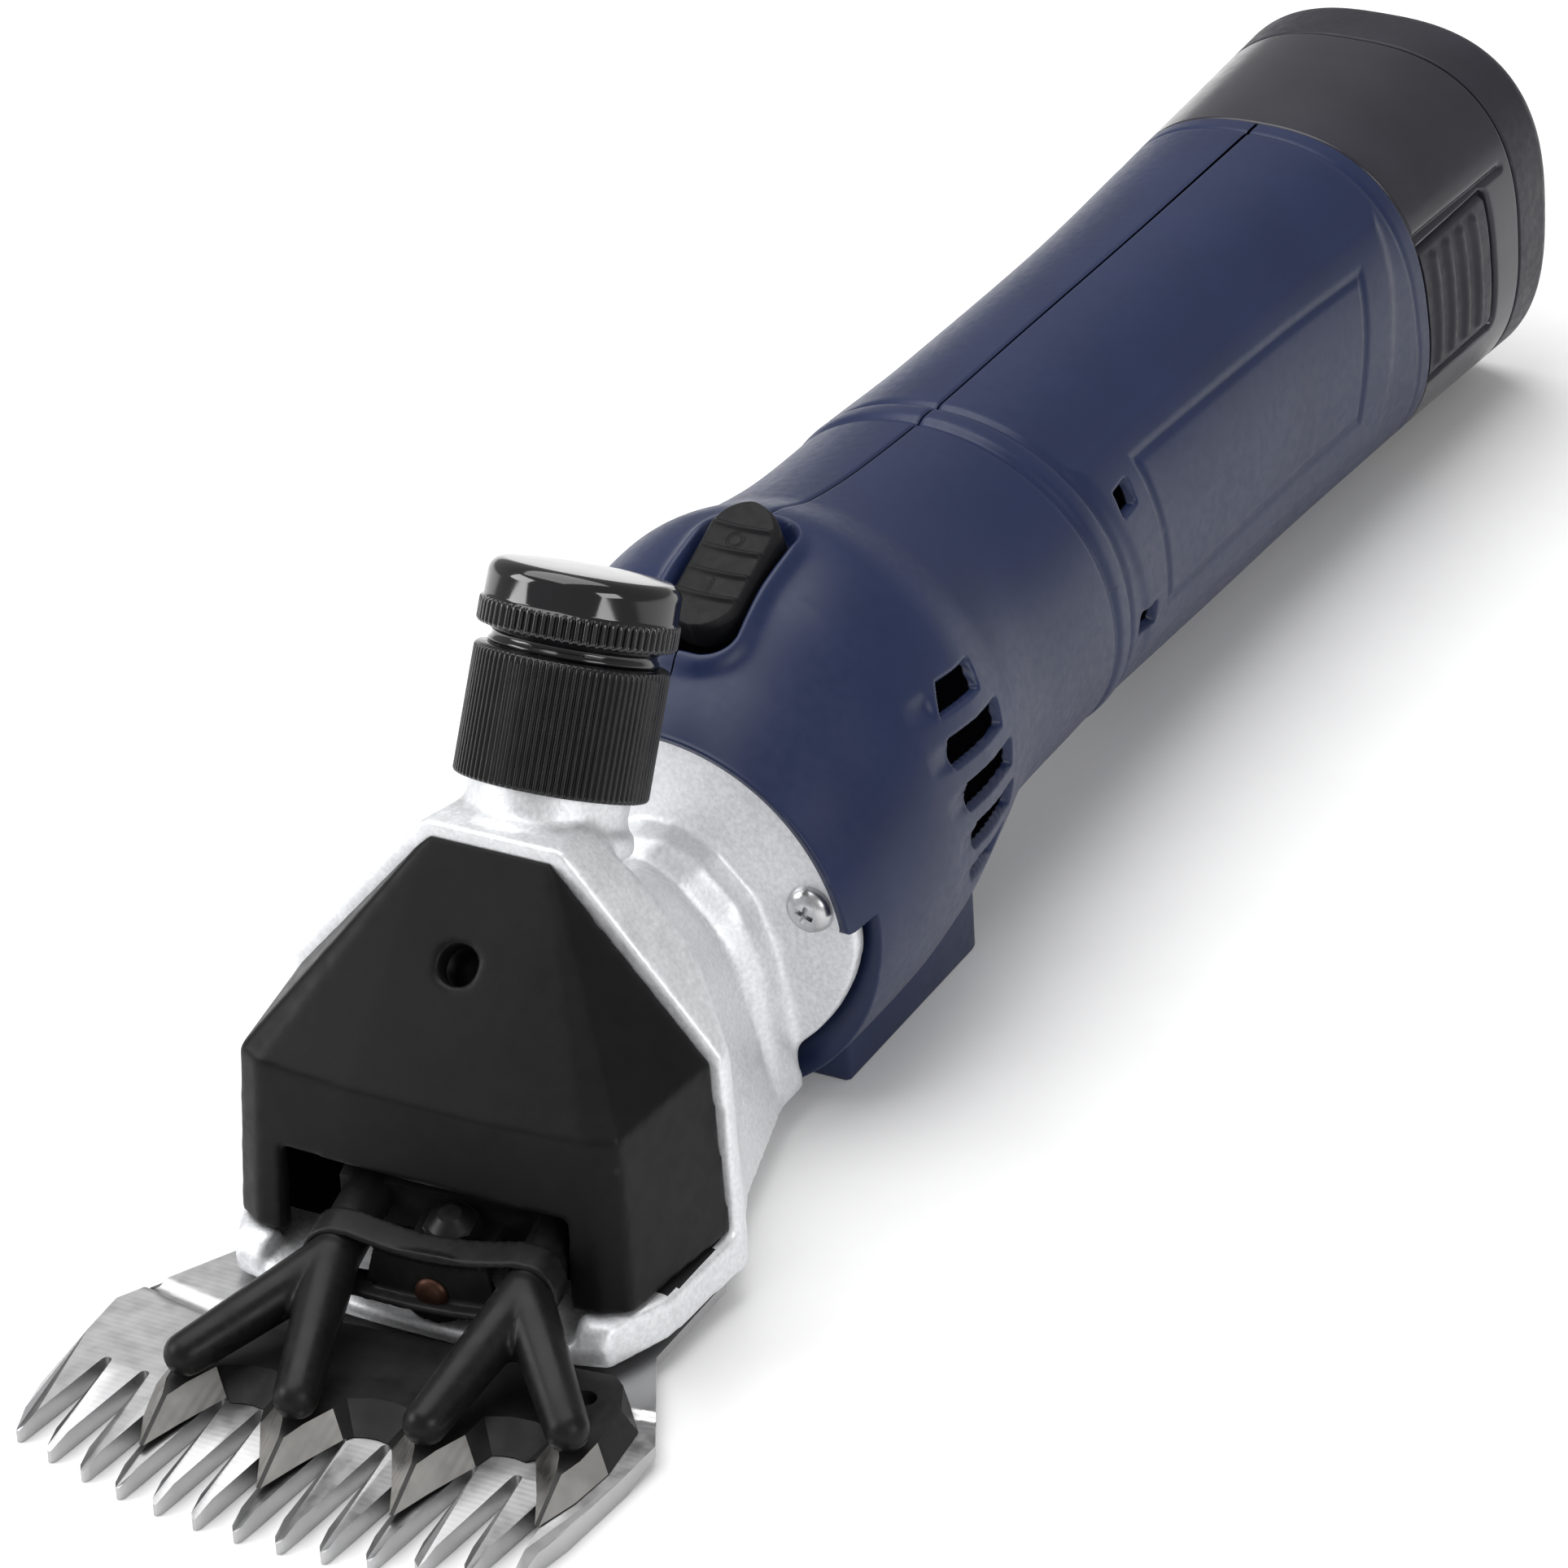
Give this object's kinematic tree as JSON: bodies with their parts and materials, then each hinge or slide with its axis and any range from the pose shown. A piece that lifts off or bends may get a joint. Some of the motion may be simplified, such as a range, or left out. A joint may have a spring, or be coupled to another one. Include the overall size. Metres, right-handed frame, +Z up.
{
  "type": "sheep shears",
  "caption": "Cordless sheep shearing handpiece: wide toothed comb and sliding cutter on a cast head, leaning tension knob, blue bulbous handle, slide switch and plug-in battery",
  "frame": {"origin": "middle of the underside of the whole tool as it lies on a table", "axes": "+Z up; the comb's teeth point along -X, the handle and battery run along +X; the plane y = 0 is the plane of symmetry of everything but the swung fork"},
  "size_m": [0.3612, 0.0832, 0.0961],
  "materials": {
    "comb_steel": "bright ground steel",
    "black_oxide": "blackened steel with ground edges",
    "screw_steel": "plated steel",
    "cast_aluminium": "die cast, tumbled",
    "copper_rivet": "dull copper",
    "cover_black": "satin moulded plastic",
    "knob_black": "knurled, glossy cap",
    "housing_blue": "dark blue satin moulded plastic",
    "battery_black": "glossy black moulded plastic",
    "end_cap_black": "fine-textured black plastic",
    "switch_black": "ribbed black plastic",
    "machined_steel": "turned steel",
    "magnet": "sintered",
    "inner_plastic": "moulded plastic",
    "windings": "laminations and lacquered windings",
    "board": "circuit board with parts",
    "cell_wrap": "shrink-wrapped steel cells",
    "contact_metal": "plated spring metal"
  },
  "bodies": {
    "handle": {"comb": "comb_steel", "comb_screws": "screw_steel", "head_casting": "cast_aluminium", "head_cover": "cover_black", "fulcrum_post": "machined_steel", "flange_screws": "screw_steel", "housing_left": "housing_blue", "housing_right": "housing_blue", "housing_screws": "screw_steel", "crank_bearing_front": "machined_steel", "crank_bearing_rear": "machined_steel", "gear_plate": "cast_aluminium", "motor_can": "machined_steel", "motor_magnets": "magnet", "motor_rear_cap": "inner_plastic", "motor_bearings": "windings", "micro_switch": "inner_plastic", "control_board": "board", "contact_block": "inner_plastic", "battery_contacts": "contact_metal"},
    "cutter_fork": {"fork": "black_oxide", "cutter": "black_oxide", "fork_foot_left": "black_oxide", "fork_foot_right": "black_oxide", "fork_retainer": "black_oxide", "fork_rivet": "copper_rivet", "fork_bolt": "black_oxide"},
    "tension_knob": {"tension_sleeve": "knob_black", "tension_cap": "knob_black"},
    "pressure_pin": {"tension_pin": "machined_steel"},
    "crank": {"crankshaft": "machined_steel", "crank_gear": "machined_steel"},
    "roller": {"crank_roller": "machined_steel"},
    "rotor": {"motor_rotor": "windings", "motor_shaft": "machined_steel", "motor_pinion": "machined_steel", "cooling_fan": "inner_plastic"},
    "switch": {"switch_button": "switch_black"},
    "battery": {"battery_sleeve": "battery_black", "battery_end_cap": "end_cap_black", "battery_cells": "cell_wrap", "cell_carrier": "inner_plastic"},
    "release_left": {"latch_left": "end_cap_black"},
    "release_right": {"latch_right": "end_cap_black"}
  },
  "joints": [
    {"name": "fork_swing", "type": "hinge", "parent": "handle", "child": "cutter_fork", "pos_m": [-0.0912, 0, 0.019], "axis": [0, 0, 1], "range_deg": [-12, 0]},
    {"name": "knob_turn", "type": "hinge", "parent": "handle", "child": "tension_knob", "pos_m": [-0.0902, 0, 0.0638], "axis": [0.4648, 0, 0.8854], "range_deg": [0, 720]},
    {"name": "pin_lift", "type": "slide", "parent": "handle", "child": "pressure_pin", "axis": [0.4648, 0, 0.8854], "range_m": [0, 0.0025]},
    {"name": "motor_spin", "type": "hinge", "parent": "handle", "child": "rotor", "pos_m": [-0.0052, 0, 0.0414], "axis": [1, 0, 0], "continuous": true},
    {"name": "crank_spin", "type": "hinge", "parent": "handle", "child": "crank", "pos_m": [-0.0452, 0, 0.0278], "axis": [1, 0, 0], "continuous": true},
    {"name": "roller_spin", "type": "hinge", "parent": "crank", "child": "roller", "pos_m": [-0.0732, 0.00188, 0.0278], "axis": [1, 0, 0], "continuous": true},
    {"name": "switch_slide", "type": "slide", "parent": "handle", "child": "switch", "axis": [-0.9205, 0, -0.3907], "range_m": [0, 0.0025]},
    {"name": "battery_slide", "type": "slide", "parent": "handle", "child": "battery", "axis": [1, 0, 0], "range_m": [0, 0.048]},
    {"name": "release_left_press", "type": "slide", "parent": "battery", "child": "release_left", "axis": [0, 1, 0], "range_m": [0, 0.0015], "stiffness_N_per_m": 1000, "springref_m": -0.002},
    {"name": "release_right_press", "type": "slide", "parent": "battery", "child": "release_right", "axis": [0, -1, 0], "range_m": [0, 0.0015], "stiffness_N_per_m": 1000, "springref_m": -0.002}
  ],
  "couplings": [
    {"joint": "crank_spin", "follows": "motor_spin", "ratio": -0.41667},
    {"joint": "knob_turn", "follows": "pin_lift", "rad_per_m": 5026.5}
  ]
}
